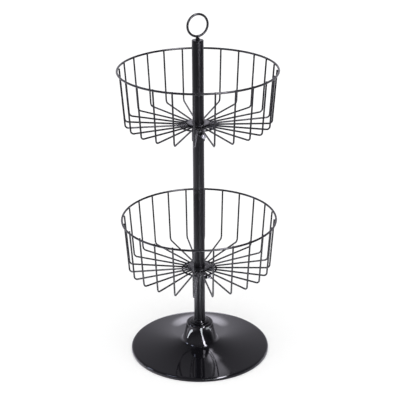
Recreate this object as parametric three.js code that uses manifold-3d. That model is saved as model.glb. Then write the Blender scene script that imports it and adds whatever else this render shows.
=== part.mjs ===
// Two-tier countertop spinner rack: two round wire baskets that turn on a two-piece pole,
// which stands in a trumpet-shaped base and carries a ring handle on top.
// Millimetres, +Z up, origin on the standing surface at the centre of the base.

import * as THREE from 'three';
import { mergeVertices } from 'three/addons/utils/BufferGeometryUtils.js';
import Module from 'manifold-3d';

const wasm = await Module();
wasm.setup();

// ---- Driving dimensions ----

const SEAT_GAP = 0.3; // between pieces that seat on each other
const RUNNING_GAP = 0.35; // radial, where a piece turns or slides on the pole

// Base
const BASE_RADIUS = 141;
const BASE_HEIGHT = 60.5; // top face of the neck
const SHELL_WALL = 1.5;
const LIP_HEIGHT = 6.5; // top of the rolled edge
const LIP_RADIUS = 3.2; // outer rounding of the rolled edge
const LIP_CLEARANCE = 0.8; // rolled edge to the standing surface
const SKIRT_SLOPE = 0.058; // rise over run beside the rolled edge
const SKIRT_CURL = 0.18; // how fast the skirt steepens towards the neck
const SWEEP_RADIUS = 0.294 * BASE_RADIUS; // where the skirt turns into the sweep
const SWEEP_TOP = 0.405 * BASE_HEIGHT; // where the sweep turns into the neck
const SWEEP_PULL = 0.42; // length of the sweep's handles, of its span
const NECK_TOP_RADIUS = 27.2;
const NECK_FLARE = 7.4; // how much wider the neck is at the top of the sweep
const NECK_CURL = 1.6; // how fast the neck widens towards the sweep
const SHOULDER_ROUND = 3.5;
const PLATE_THICKNESS = 3;
const PLATE_DISH = 7; // raised middle of the ballast plate, over the bolt head
const PLATE_DISH_RADIUS = 17; // raised middle's flat
const PLATE_DISH_SLOPE = 3.5; // run of the dish's side
const PLATE_SET_BACK = 1.8; // top of the dish's side, outside its underside
const PLATE_GAP = 0.32; // below the skirt
const PLATE_MARGIN = 13; // ballast plate edge to the base's outer edge
const PAD_RADIUS = 8;
const PAD_COUNT = 4;
const PAD_INSET = 18; // pad centre to the ballast plate's edge

// Pole and its fastenings
const POLE_RADIUS = 11.1;
const POLE_WALL = 1.2;
const POLE_TOP = 650.5; // end of the upper tube
const JOINT_HEIGHT = 0.5396 * POLE_TOP; // middle of the coupler's visible band
const BAND_HEIGHT = 8;
const BAND_PROUD = 0.2;
const COUPLER_REACH = 45; // plug length inside each tube
const COUPLER_WALL = 2.2;
const FLANGE_RADIUS = 19.3;
const FLANGE_THICKNESS = 2;
const FLANGE_COLLAR_HEIGHT = 2.2;
const FLANGE_COLLAR_WALL = 1.6; // at its foot, half of it at its top
const PLUG_LENGTH = 26; // the foot flange's plug inside the pole
const BOLT_RADIUS = 4;
const BOLT_HEAD_RADIUS = 7.2; // across the corners, halved
const BOLT_HEAD_HEIGHT = 5.3;
const BOLT_BITE = 20; // length held in the plug
const WASHER_RADIUS = 11;
const WASHER_THICKNESS = 1.6;

// End cap and ring handle
const CAP_THICKNESS = 1.5;
const CAP_PLUG_LENGTH = 12;
const RING_RADIUS = 20.8; // centre line of the ring's wire
const RING_WIRE_RADIUS = 2.2;
const RING_YAW = 26; // degrees, about the pole
const STUD_RADIUS = 2.4;
const STUD_REACH = 10; // below the cap's top face
const NUT_RADIUS = 4.4; // across the corners, halved
const NUT_HEIGHT = 3.8;
const NUT_TO_RING = 1;

// Baskets
const RIM_RADIUS = 152.4; // centre line of the rim wire
const RIM_WIRE_RADIUS = 2.05;
const RIB_LEAN = 11.4; // rim wire's centre, outside the corner of the ribs
const BASKET_DEPTH = 105; // rim wire's centre to the corner of the ribs
const RIB_COUNT = 24;
const RIB_WIRE_RADIUS = 1.7;
const RIB_BEND_RADIUS = 7;
const RIB_PROUD = 0.8; // rib's top end above the rim wire's centre
const SPOKE_DROP = 3.4; // fall of a spoke from the corner to the hub
const SUPPORT_RADIUS = 34.3; // centre line of the ring under the spokes
const SUPPORT_WIRE_RADIUS = 1.8;
const WELD_DEPTH = 0.6; // how far welded wires sink into each other
const HUB_THICKNESS = 2;
const HUB_OVERLAP = 5; // spoke length under the hub disc
const WASHER_RING_WIDTH = 4.4; // bearing washer, pole side to its outer edge
const SPOKE_GAP = 1.15; // spoke's end to the bearing washer
const BEARING_THICKNESS = 1.2;
const COLLAR_WALL = 1.25;
const COLLAR_LENGTH = 33;
const BOSS_RADIUS = 5.4;
const BOSS_LENGTH = 4.6; // welded nut for the thumb screw
const BOSS_DROP = 18; // from the collar's top to the thumb screw's axis
const SCREW_RADIUS = 2.5;
const SCREW_HEAD_RADIUS = 4.6;
const SCREW_HEAD_LENGTH = 6;
const SCREW_STAND_OFF = 1.4; // thumb screw's head to the boss

const UPPER_RIM_HEIGHT = POLE_TOP - 55.5;
const TIER_SPACING = 0.4681 * POLE_TOP;

const TIERS = [
  { name: 'lower', rimHeight: UPPER_RIM_HEIGHT - TIER_SPACING, yaw: -4.5, screwYaw: -18 },
  { name: 'upper', rimHeight: UPPER_RIM_HEIGHT, yaw: -3, screwYaw: -60 },
];

// Mesh fineness
const BASE_SEGMENTS = 48;
const ROUND_SEGMENTS = 24;
const SMALL_SEGMENTS = 16;
const RIM_STEPS = 60;
const SUPPORT_STEPS = 36;
const WIRE_SIDES = 8;
const RIB_SIDES = 6;
const HEX_SIDES = 6;
const BEND_STEPS = 3;
const SKIRT_STEPS = 7;
const SWEEP_STEPS = 6;
const NECK_STEPS = 4;
const CUT_MARGIN = 1; // how far a cutting tool runs past a face

// ---- Materials ----

const finish = (color, roughness, metalness) =>
  new THREE.MeshStandardMaterial({ color, roughness, metalness });
const GLOSS_BLACK = finish(0x0b0b0d, 0.12, 0.2);
const SATIN_BLACK = finish(0x232327, 0.35, 0.3);
const BRIGHT_ZINC = finish(0xc4c6ca, 0.28, 1);
const BLACK_RUBBER = finish(0x151515, 0.9, 0);
const WHITE_NYLON = finish(0xe4e2da, 0.55, 0);
const RAW_STEEL = finish(0x6c6e72, 0.45, 1);

// ---- Helpers ----

const rack = new THREE.Group();
const radians = THREE.MathUtils.degToRad;

function place(parent, name, geometry, material) {
  const mesh = new THREE.Mesh(geometry, material);
  mesh.name = name;
  parent.add(mesh);
  return mesh;
}

// Turns a lathe's axis from Y to Z.
function lathe(points, segments) {
  const profile = points.map(([radius, height]) => new THREE.Vector2(radius, height));
  return new THREE.LatheGeometry(profile, segments).rotateX(Math.PI / 2);
}

// A ring of rectangular section about Z.
function tube(inner, outer, low, high, segments) {
  const corners = [[inner, low], [outer, low], [outer, high], [inner, high], [inner, low]];
  return lathe(corners, segments);
}

// A solid rod about Z.
function rod(radius, low, high, segments) {
  return lathe([[0, low], [radius, low], [radius, high], [0, high]], segments);
}

function toSolid(geometry) {
  const bare = geometry.clone();
  bare.deleteAttribute('normal');
  bare.deleteAttribute('uv');
  const merged = mergeVertices(bare, 1e-4);
  const vertProperties = Float32Array.from(merged.attributes.position.array);
  const triVerts = Uint32Array.from(merged.index.array);
  return new wasm.Manifold(new wasm.Mesh({ numProp: 3, vertProperties, triVerts }));
}

function toGeometry(solid) {
  const mesh = solid.getMesh();
  const geometry = new THREE.BufferGeometry();
  geometry.setAttribute('position', new THREE.BufferAttribute(mesh.vertProperties, 3));
  geometry.setIndex(new THREE.BufferAttribute(mesh.triVerts, 1));
  geometry.computeVertexNormals();
  return geometry;
}

function join(geometries) {
  return toGeometry(geometries.map(toSolid).reduce((whole, next) => whole.add(next)));
}

function cut(geometry, tools) {
  return toGeometry(tools.map(toSolid).reduce((whole, tool) => whole.subtract(tool), toSolid(geometry)));
}

// Points of a round corner at p between a and b, both ends included.
function roundCorner(a, p, b, radius, steps) {
  const [start, corner, end] = [a, p, b].map(([x, y]) => new THREE.Vector2(x, y));
  const back = start.clone().sub(corner).normalize();
  const ahead = end.clone().sub(corner).normalize();
  const half = Math.acos(THREE.MathUtils.clamp(back.dot(ahead), -1, 1)) / 2;
  const reach = radius / Math.tan(half);
  const centre = back.clone().add(ahead).normalize().multiplyScalar(radius / Math.sin(half)).add(corner);
  const from = back.multiplyScalar(reach).add(corner).sub(centre);
  const to = ahead.multiplyScalar(reach).add(corner).sub(centre);
  const turn = Math.atan2(from.x * to.y - from.y * to.x, from.dot(to));
  const points = [];
  for (let i = 0; i <= steps; i += 1) {
    const spoke = from.clone().rotateAround(new THREE.Vector2(), (turn * i) / steps);
    points.push([centre.x + spoke.x, centre.y + spoke.y]);
  }
  return points;
}

// A wire's centre line through given points, with one step of the sweep from each to the next.
class WirePath extends THREE.Curve {
  constructor(points) {
    super();
    this.points = points;
  }

  getPoint(t, target = new THREE.Vector3()) {
    const along = t * (this.points.length - 1);
    const index = Math.min(Math.floor(along), this.points.length - 2);
    return target.lerpVectors(this.points[index], this.points[index + 1], along - index);
  }

  getUtoTmapping(u) {
    return u;
  }
}

// Offsets an open outline to its left by a wall, point by point.
function offsetOutline(points, wall) {
  return points.map(([x, y], i) => {
    const [ax, ay] = points[Math.max(i - 1, 0)];
    const [bx, by] = points[Math.min(i + 1, points.length - 1)];
    const length = Math.hypot(bx - ax, by - ay);
    return [x + (wall * (ay - by)) / length, y + (wall * (bx - ax)) / length];
  });
}

// ---- Base ----

const lipTop = LIP_CLEARANCE + LIP_HEIGHT;
const skirtEdge = [BASE_RADIUS, lipTop];
const neckTop = [NECK_TOP_RADIUS, BASE_HEIGHT];
const lipFoot = [BASE_RADIUS, LIP_CLEARANCE];
const boltHole = BOLT_RADIUS + SEAT_GAP;

// Height of the skirt's outside at a radius.
function skirtHeight(radius) {
  const rise = (BASE_RADIUS / radius) ** SKIRT_CURL - 1;
  return lipTop + (SKIRT_SLOPE * BASE_RADIUS * rise) / SKIRT_CURL;
}

// Radius of the neck's outside at a height.
function neckRadius(height) {
  const down = (BASE_HEIGHT - height) / (BASE_HEIGHT - SWEEP_TOP);
  return NECK_TOP_RADIUS + NECK_FLARE * down ** NECK_CURL;
}

function evenly(from, to, steps, pointAt) {
  return Array.from({ length: steps + 1 }, (_, i) => pointAt(THREE.MathUtils.lerp(from, to, i / steps)));
}

// Points between two curves, leaving the first and meeting the second without a kink.
function sweepBetween(first, second) {
  const [a, b, c, d] = [first.at(-2), first.at(-1), second[0], second[1]]
    .map(([x, y]) => new THREE.Vector2(x, y));
  const pull = b.distanceTo(c) * SWEEP_PULL;
  const leave = b.clone().sub(a).setLength(pull).add(b);
  const arrive = c.clone().sub(d).setLength(pull).add(c);
  const curve = new THREE.CubicBezierCurve(b, leave, arrive, c);
  return curve.getPoints(SWEEP_STEPS).slice(1, -1).map((point) => point.toArray());
}

// The outside of the shell, from the foot of the rolled edge up to the bolt hole.
function shellOutline() {
  const skirtStart = BASE_RADIUS - 2 * LIP_RADIUS;
  const neckEnd = BASE_HEIGHT - 2 * SHOULDER_ROUND;
  const skirt = evenly(skirtStart, SWEEP_RADIUS, SKIRT_STEPS, (radius) => [radius, skirtHeight(radius)]);
  const neck = evenly(SWEEP_TOP, neckEnd, NECK_STEPS, (height) => [neckRadius(height), height]);
  return [
    lipFoot,
    ...roundCorner(lipFoot, skirtEdge, skirt[0], LIP_RADIUS, BEND_STEPS),
    ...skirt,
    ...sweepBetween(skirt, neck),
    ...neck,
    ...roundCorner(neck.at(-1), neckTop, [0, BASE_HEIGHT], SHOULDER_ROUND, BEND_STEPS),
    [boltHole, BASE_HEIGHT],
  ];
}

function baseShell() {
  const outside = shellOutline();
  const inside = offsetOutline(outside, SHELL_WALL);
  inside[0] = [BASE_RADIUS - SHELL_WALL, LIP_CLEARANCE];
  inside[inside.length - 1] = [boltHole, BASE_HEIGHT - SHELL_WALL];
  return lathe([...outside, ...inside.reverse(), outside[0]], BASE_SEGMENTS);
}

const plateRadius = BASE_RADIUS - PLATE_MARGIN;
const plateTop = skirtHeight(plateRadius) - SHELL_WALL - PLATE_GAP;
const plateBottom = plateTop - PLATE_THICKNESS;
const padRing = plateRadius - PAD_INSET;
const dishTop = plateTop + PLATE_DISH;

function ballastPlate() {
  const inner = PLATE_DISH_RADIUS;
  const outer = PLATE_DISH_RADIUS + PLATE_SET_BACK;
  return lathe([
    [boltHole, dishTop - PLATE_THICKNESS],
    [inner, dishTop - PLATE_THICKNESS],
    [inner + PLATE_DISH_SLOPE, plateBottom],
    [plateRadius, plateBottom],
    [plateRadius, plateTop],
    [outer + PLATE_DISH_SLOPE, plateTop],
    [outer, dishTop],
    [boltHole, dishTop],
    [boltHole, dishTop - PLATE_THICKNESS],
  ], BASE_SEGMENTS);
}

place(rack, 'base_shell', baseShell(), GLOSS_BLACK);
place(rack, 'ballast_plate', ballastPlate(), RAW_STEEL);

const padTop = plateBottom - SEAT_GAP;
for (let i = 0; i < PAD_COUNT; i += 1) {
  const turn = ((i + 0.5) * 2 * Math.PI) / PAD_COUNT;
  const pad = place(rack, `foot_pad_${i + 1}`, rod(PAD_RADIUS, 0, padTop, SMALL_SEGMENTS), BLACK_RUBBER);
  pad.position.set(padRing * Math.cos(turn), padRing * Math.sin(turn), 0);
}

// ---- Pole foot ----

const flangeBottom = BASE_HEIGHT + SEAT_GAP;
const flangeTop = flangeBottom + FLANGE_THICKNESS;
const poleBore = POLE_RADIUS - POLE_WALL;
const plugRadius = poleBore - SEAT_GAP;
const plugTop = flangeTop + PLUG_LENGTH;
const collarBore = POLE_RADIUS + SEAT_GAP;

// A disc with a bored plug inside the tube and a low collar around it.
function footFlange() {
  return lathe([
    [boltHole, flangeBottom],
    [FLANGE_RADIUS, flangeBottom],
    [FLANGE_RADIUS, flangeTop],
    [collarBore + FLANGE_COLLAR_WALL, flangeTop],
    [collarBore + FLANGE_COLLAR_WALL / 2, flangeTop + FLANGE_COLLAR_HEIGHT],
    [collarBore, flangeTop + FLANGE_COLLAR_HEIGHT],
    [collarBore, flangeTop],
    [plugRadius, flangeTop],
    [plugRadius, plugTop],
    [boltHole, plugTop],
    [boltHole, flangeBottom],
  ], ROUND_SEGMENTS);
}

place(rack, 'foot_flange', footFlange(), SATIN_BLACK);

const washerTop = dishTop - PLATE_THICKNESS - SEAT_GAP;
const washerBottom = washerTop - WASHER_THICKNESS;
const headTop = washerBottom - SEAT_GAP;
const washer = tube(boltHole, WASHER_RADIUS, washerBottom, washerTop, SMALL_SEGMENTS);
place(rack, 'bolt_washer', washer, BRIGHT_ZINC);

const boltTop = flangeTop + BOLT_BITE;
const tieBolt = join([
  rod(BOLT_HEAD_RADIUS, headTop - BOLT_HEAD_HEIGHT, headTop, HEX_SIDES),
  rod(BOLT_RADIUS, headTop - WELD_DEPTH, boltTop, SMALL_SEGMENTS),
]);
place(rack, 'tie_bolt', tieBolt, BRIGHT_ZINC);

// ---- Pole ----

const poleBottom = flangeTop + SEAT_GAP;
const bandLow = JOINT_HEIGHT - BAND_HEIGHT / 2;
const bandHigh = JOINT_HEIGHT + BAND_HEIGHT / 2;
const bandRadius = POLE_RADIUS + BAND_PROUD;
const couplerBore = plugRadius - COUPLER_WALL;

const lowerPole = tube(poleBore, POLE_RADIUS, poleBottom, bandLow - SEAT_GAP, ROUND_SEGMENTS);
const upperPole = tube(poleBore, POLE_RADIUS, bandHigh + SEAT_GAP, POLE_TOP, ROUND_SEGMENTS);
place(rack, 'lower_pole', lowerPole, SATIN_BLACK);
place(rack, 'upper_pole', upperPole, SATIN_BLACK);

// A hollow plug in both tubes, with a band between their ends.
function poleCoupler() {
  const low = bandLow - COUPLER_REACH;
  const high = bandHigh + COUPLER_REACH;
  return lathe([
    [couplerBore, low],
    [plugRadius, low],
    [plugRadius, bandLow],
    [bandRadius, bandLow],
    [bandRadius, bandHigh],
    [plugRadius, bandHigh],
    [plugRadius, high],
    [couplerBore, high],
    [couplerBore, low],
  ], ROUND_SEGMENTS);
}

place(rack, 'pole_coupler', poleCoupler(), SATIN_BLACK);

// ---- End cap and ring handle ----

const capBottom = POLE_TOP + SEAT_GAP;
const capTop = capBottom + CAP_THICKNESS;
const studHole = STUD_RADIUS + SEAT_GAP;

function endCap() {
  return lathe([
    [studHole, capBottom - CAP_PLUG_LENGTH],
    [plugRadius, capBottom - CAP_PLUG_LENGTH],
    [plugRadius, capBottom],
    [POLE_RADIUS, capBottom],
    [POLE_RADIUS, capTop],
    [studHole, capTop],
    [studHole, capBottom - CAP_PLUG_LENGTH],
  ], ROUND_SEGMENTS);
}

place(rack, 'end_cap', endCap(), SATIN_BLACK);

const nutBottom = capTop + SEAT_GAP;
const nutTop = nutBottom + NUT_HEIGHT;
const nutBlank = rod(NUT_RADIUS, nutBottom, nutTop, HEX_SIDES);
const ringNut = cut(nutBlank, [rod(studHole, nutBottom - CUT_MARGIN, nutTop + CUT_MARGIN, SMALL_SEGMENTS)]);
place(rack, 'ring_nut', ringNut, SATIN_BLACK);

// A wire eye in the XZ plane, welded to its threaded stud.
const ringHeight = nutTop + NUT_TO_RING + RING_WIRE_RADIUS + RING_RADIUS;
const eye = new THREE.TorusGeometry(RING_RADIUS, RING_WIRE_RADIUS, WIRE_SIDES, SUPPORT_STEPS);
eye.rotateX(Math.PI / 2);
eye.translate(0, 0, ringHeight);
const stud = rod(STUD_RADIUS, capTop - STUD_REACH, ringHeight - RING_RADIUS, SMALL_SEGMENTS);
const ringHandle = place(rack, 'ring_handle', join([eye, stud]), SATIN_BLACK);
ringHandle.rotation.z = radians(RING_YAW);

// ---- Baskets ----

const ribTopRadius = RIM_RADIUS - RIM_WIRE_RADIUS - RIB_WIRE_RADIUS - SEAT_GAP;
const turningBore = POLE_RADIUS + RUNNING_GAP;
const bearingRadius = turningBore + WASHER_RING_WIDTH;
const spokeEnd = bearingRadius + SPOKE_GAP;
const hubRadius = spokeEnd + HUB_OVERLAP;
const cornerRadius = RIM_RADIUS - RIB_LEAN; // where a rib's upright and its spoke would meet
const spokeSlope = SPOKE_DROP / (cornerRadius - spokeEnd);

// One bent wire in the XZ plane, about its corner's height.
function rib() {
  const top = [ribTopRadius, BASKET_DEPTH + RIB_PROUD];
  const corner = [cornerRadius, 0];
  const end = [spokeEnd, -SPOKE_DROP];
  const line = [top, ...roundCorner(top, corner, end, RIB_BEND_RADIUS, BEND_STEPS), end];
  const path = new WirePath(line.map(([x, z]) => new THREE.Vector3(x, 0, z)));
  const section = new THREE.Shape();
  for (let i = 0; i < RIB_SIDES; i += 1) {
    const turn = (i * 2 * Math.PI) / RIB_SIDES;
    const point = [RIB_WIRE_RADIUS * Math.cos(turn), RIB_WIRE_RADIUS * Math.sin(turn)];
    if (i === 0) section.moveTo(...point);
    else section.lineTo(...point);
  }
  section.closePath();
  return new THREE.ExtrudeGeometry(section, {
    steps: line.length - 1,
    bevelEnabled: false,
    extrudePath: path,
  });
}

// The ribs, welded on the ring that runs under their spokes.
function ribCage() {
  const spokeHeight = -spokeSlope * (cornerRadius - SUPPORT_RADIUS);
  const supportHeight = spokeHeight - RIB_WIRE_RADIUS - SUPPORT_WIRE_RADIUS + WELD_DEPTH;
  const support = new THREE.TorusGeometry(
    SUPPORT_RADIUS, SUPPORT_WIRE_RADIUS, RIB_SIDES, SUPPORT_STEPS,
  );
  support.translate(0, 0, supportHeight);
  const wire = rib();
  const wires = [support];
  for (let i = 0; i < RIB_COUNT; i += 1) {
    wires.push(wire.clone().rotateZ((i * 2 * Math.PI) / RIB_COUNT));
  }
  return join(wires);
}

// Heights below are measured from the corner of the ribs.
const discBottom = RIB_WIRE_RADIUS + SEAT_GAP - SPOKE_DROP;
const bearingTop = discBottom - SEAT_GAP;
const collarTop = bearingTop - BEARING_THICKNESS - SEAT_GAP;
const collarOutside = turningBore + COLLAR_WALL;
const bossEnd = collarOutside + BOSS_LENGTH;
const screwHeight = collarTop - BOSS_DROP;
const screwHole = SCREW_RADIUS + SEAT_GAP;

// A rod along +X.
function crossRod(radius, from, to, segments) {
  return rod(radius, from, to, segments).rotateY(Math.PI / 2).translate(0, 0, screwHeight);
}

// A sleeve with the welded nut that the thumb screw runs in.
function stopCollar() {
  const low = collarTop - COLLAR_LENGTH;
  const sleeve = rod(collarOutside, low, collarTop, ROUND_SEGMENTS);
  const boss = crossRod(BOSS_RADIUS, 0, bossEnd, HEX_SIDES);
  return cut(join([sleeve, boss]), [
    rod(turningBore, low - CUT_MARGIN, collarTop + CUT_MARGIN, ROUND_SEGMENTS),
    crossRod(screwHole, 0, bossEnd + CUT_MARGIN, SMALL_SEGMENTS),
  ]);
}

function thumbScrew() {
  const headStart = bossEnd + SCREW_STAND_OFF;
  return join([
    crossRod(SCREW_RADIUS, POLE_RADIUS + SEAT_GAP, headStart + WELD_DEPTH, SMALL_SEGMENTS),
    crossRod(SCREW_HEAD_RADIUS, headStart, headStart + SCREW_HEAD_LENGTH, SMALL_SEGMENTS),
  ]);
}

const cage = ribCage();
const rim = new THREE.TorusGeometry(RIM_RADIUS, RIM_WIRE_RADIUS, WIRE_SIDES, RIM_STEPS);
rim.translate(0, 0, BASKET_DEPTH);
const hubDisc = tube(turningBore, hubRadius, discBottom, discBottom + HUB_THICKNESS, ROUND_SEGMENTS);
const bearing = tube(
  turningBore, bearingRadius, bearingTop - BEARING_THICKNESS, bearingTop, ROUND_SEGMENTS,
);

for (const { name, rimHeight, yaw, screwYaw } of TIERS) {
  const basket = new THREE.Group();
  basket.position.z = rimHeight - BASKET_DEPTH;
  basket.rotation.z = radians(yaw);
  rack.add(basket);
  place(basket, `${name}_rim`, rim, SATIN_BLACK);
  place(basket, `${name}_rib_cage`, cage, SATIN_BLACK);
  place(basket, `${name}_hub_disc`, hubDisc, SATIN_BLACK);
  place(basket, `${name}_bearing_washer`, bearing, WHITE_NYLON);

  const stop = new THREE.Group();
  stop.position.z = rimHeight - BASKET_DEPTH;
  stop.rotation.z = radians(screwYaw);
  rack.add(stop);
  place(stop, `${name}_collar`, stopCollar(), SATIN_BLACK);
  place(stop, `${name}_thumb_screw`, thumbScrew(), BRIGHT_ZINC);
}

export default rack;
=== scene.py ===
import math

import bmesh
import bpy
from mathutils import Matrix, Vector


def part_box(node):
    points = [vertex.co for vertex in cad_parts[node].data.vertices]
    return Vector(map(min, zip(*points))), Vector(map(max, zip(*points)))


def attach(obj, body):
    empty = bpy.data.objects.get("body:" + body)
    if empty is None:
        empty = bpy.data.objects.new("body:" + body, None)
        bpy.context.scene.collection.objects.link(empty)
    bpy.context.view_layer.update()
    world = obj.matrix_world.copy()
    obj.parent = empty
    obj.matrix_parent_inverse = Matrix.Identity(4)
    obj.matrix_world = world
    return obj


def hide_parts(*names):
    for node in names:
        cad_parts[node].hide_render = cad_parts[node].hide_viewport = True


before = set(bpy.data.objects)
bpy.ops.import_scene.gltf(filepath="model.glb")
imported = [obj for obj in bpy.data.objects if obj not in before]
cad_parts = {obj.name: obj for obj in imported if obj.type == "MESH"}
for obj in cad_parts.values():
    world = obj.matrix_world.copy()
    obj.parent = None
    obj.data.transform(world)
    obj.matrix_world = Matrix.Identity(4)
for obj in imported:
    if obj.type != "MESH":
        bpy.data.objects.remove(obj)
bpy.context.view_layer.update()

scene = bpy.context.scene
scene.view_settings.view_transform = "Standard"


cameraSet = {
    "place": (0.0023, -2.1388, 1.2259),
    "pitchDown": 0.3970,
    "roll": -0.0070,
    "lens": 106.06,
    "sensor": 36.0,
    "reach": 60,
}


def makeCamera():
    s = cameraSet
    data = bpy.data.cameras.new("rackCamera")
    data.lens, data.sensor_width, data.clip_end = s["lens"], s["sensor"], s["reach"]
    camera = bpy.data.objects.new("rackCamera", data)
    level = Matrix.Rotation(math.pi / 2 - s["pitchDown"], 4, "X")
    camera.matrix_world = Matrix.Translation(s["place"]) @ level @ Matrix.Rotation(s["roll"], 4, "Z")
    scene.collection.objects.link(camera)
    scene.camera = camera


makeCamera()


class Sock:
    # an output socket that can be used in sums
    def __init__(self, graph, socket):
        self.graph, self.socket = graph, socket

    def math(self, operation, *others):
        return self.graph.math(operation, self, *others)

    def __add__(self, other):
        return self.math("ADD", other)

    def __radd__(self, other):
        return self.graph.math("ADD", other, self)

    def __sub__(self, other):
        return self.math("SUBTRACT", other)

    def __rsub__(self, other):
        return self.graph.math("SUBTRACT", other, self)

    def __mul__(self, other):
        return self.math("MULTIPLY", other)

    def __rmul__(self, other):
        return self.graph.math("MULTIPLY", other, self)

    def __truediv__(self, other):
        return self.math("DIVIDE", other)

    def __rtruediv__(self, other):
        return self.graph.math("DIVIDE", other, self)

    def clamp(self):
        return self.math("MAXIMUM", 0.0).math("MINIMUM", 1.0)


class Made:
    # a node whose outputs are read by name or number
    def __init__(self, graph, node):
        self.graph, self.node = graph, node

    def __getitem__(self, which):
        return Sock(self.graph, self.node.outputs[which])


class Graph:
    # builds a shader tree
    def __init__(self, owner):
        owner.use_nodes = True
        self.tree = owner.node_tree
        self.tree.nodes.clear()

    def add(self, kind, settings=None, values=None):
        node = self.tree.nodes.new(kind)
        for key, value in (settings or {}).items():
            if key == "stops":
                self.fillRamp(node.color_ramp, value)
            else:
                setattr(node, key, value)
        for key, value in (values or {}).items():
            if isinstance(value, Sock):
                self.tree.links.new(value.socket, node.inputs[key])
            else:
                node.inputs[key].default_value = value
        return Made(self, node)

    def fillRamp(self, ramp, stops):
        while len(ramp.elements) < len(stops):
            ramp.elements.new(1.0)
        for element, (place, shade) in zip(ramp.elements, stops):
            element.position = place
            element.color = (shade, shade, shade, 1)

    def math(self, operation, *values):
        return self.add("ShaderNodeMath", {"operation": operation}, dict(enumerate(values)))["Value"]

    def vector(self, operation, first, second):
        return self.add("ShaderNodeVectorMath", {"operation": operation}, {0: first, 1: second})

    def noise(self, scale, detail=2.0, rough=0.5, stretch=(1, 1, 1)):
        where = self.add("ShaderNodeTexCoord")["Object"]
        if stretch != (1, 1, 1):
            where = self.add("ShaderNodeMapping", None, {"Vector": where, "Scale": stretch})["Vector"]
        found = {"Vector": where, "Scale": scale, "Detail": detail, "Roughness": rough}
        return self.add("ShaderNodeTexNoise", None, found)["Fac"]

    def ramp(self, value, stops):
        return self.add("ShaderNodeValToRGB", {"stops": stops}, {"Fac": value})["Color"]

    def mask(self, value, low, high):
        found = {"Value": value, "From Min": low, "From Max": high}
        return self.add("ShaderNodeMapRange", None, found)["Result"]

    def patches(self, found):
        # marks where a noise is high
        return self.mask(self.noise(*found["noise"]), *found["limits"])

    def mixColour(self, mask, first, second):
        return self.add("ShaderNodeMix", {"data_type": "RGBA"}, {0: mask, 6: first, 7: second})[2]

    def bump(self, height, distance, strength):
        found = {"Height": height, "Distance": distance, "Strength": strength}
        return self.add("ShaderNodeBump", None, found)["Normal"]

    def surface(self, values):
        shader = self.add("ShaderNodeBsdfPrincipled", None, values)["BSDF"]
        self.add("ShaderNodeOutputMaterial", None, {"Surface": shader})


def newMaterial(name):
    material = bpy.data.materials.new(name)
    return material, Graph(material)


def grey(shade):
    return (shade, shade, shade, 1)


lacquerSet = {
    "colour": (0.0040, 0.0038, 0.0052, 1),
    "dust": (0.045, 0.045, 0.048, 1),
    "smears": {"noise": (9, 4, 0.6), "limits": (0.48, 0.75)},
    "specks": {"noise": (1300, 1), "limits": (0.735, 0.80)},
    "hairs": {"noise": (60, 3, 0.7, (1, 14, 1)), "limits": (0.66, 0.72)},
    "peel": (240, 1.5),
    "roughness": {"smear": 0.06, "hair": 0.02, "speck": 0.3, "least": 0.035},
    "speckTone": 0.5,
    "speckHeight": 1.5,
    "bump": (0.00001, 0.6),
}


def makeLacquer():
    s, rough = lacquerSet, lacquerSet["roughness"]
    material, g = newMaterial("glossBlackLacquer")
    smear, specks = g.patches(s["smears"]), g.patches(s["specks"])
    peel, hairs = g.noise(*s["peel"]), g.patches(s["hairs"])
    worn = smear * rough["smear"] + hairs * rough["hair"] + specks * rough["speck"] + rough["least"]
    g.surface({
        "Base Color": g.mixColour(specks * s["speckTone"], s["colour"], s["dust"]),
        "Roughness": worn.clamp(),
        "Normal": g.bump(peel + specks * s["speckHeight"], *s["bump"]),
    })
    return material


coatSet = {
    "wire": {
        "dark": (0.0060, 0.0058, 0.0072, 1),
        "light": (0.012, 0.0118, 0.0140, 1),
        "roughness": 0.27,
        "shine": 0.5,
        "bump": (0.00004, 0.5),
    },
    "tube": {
        "dark": (0.0050, 0.0048, 0.0062, 1),
        "light": (0.009, 0.0088, 0.0110, 1),
        "roughness": 0.36,
        "shine": 0.3,
        "bump": (0.00003, 0.5),
    },
    "grain": (2600, 2),
    "peel": (620, 2),
    "cloud": (34, 3),
    "rubs": {"noise": (150, 4, 0.65, (1, 1, 0.18)), "limits": (0.60, 0.74)},
    "tone": {"grain": 0.35, "cloud": 0.4, "rub": 0.25},
    "roughness": {"cloud": 0.12, "rub": 0.09},
    "grainHeight": 0.35,
}


def makeCoat(name, finish):
    s, tone, rough = coatSet, coatSet["tone"], coatSet["roughness"]
    material, g = newMaterial(name)
    grain, peel, cloud = g.noise(*s["grain"]), g.noise(*s["peel"]), g.noise(*s["cloud"])
    rub = g.patches(s["rubs"])
    light = (grain * tone["grain"] + cloud * tone["cloud"] + rub * tone["rub"]).clamp()
    worn = (cloud - 0.5) * rough["cloud"] + rub * rough["rub"] + finish["roughness"]
    g.surface({
        "Base Color": g.mixColour(light, finish["dark"], finish["light"]),
        "Roughness": worn.clamp(),
        "Specular IOR Level": finish["shine"],
        "Normal": g.bump(peel + grain * s["grainHeight"], *finish["bump"]),
    })
    return material


zincSet = {
    "clean": (0.74, 0.75, 0.77, 1),
    "stained": (0.56, 0.55, 0.52, 1),
    "cloud": (420, 3),
    "turned": (900, 2, 0.5, (0.15, 0.15, 3)),
    "stains": {"noise": (260, 4, 0.7), "limits": (0.55, 0.72)},
    "roughness": {"cloud": 0.12, "turned": 0.10, "stain": 0.10, "least": 0.08},
    "bump": (0.00003, 0.35),
}


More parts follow.
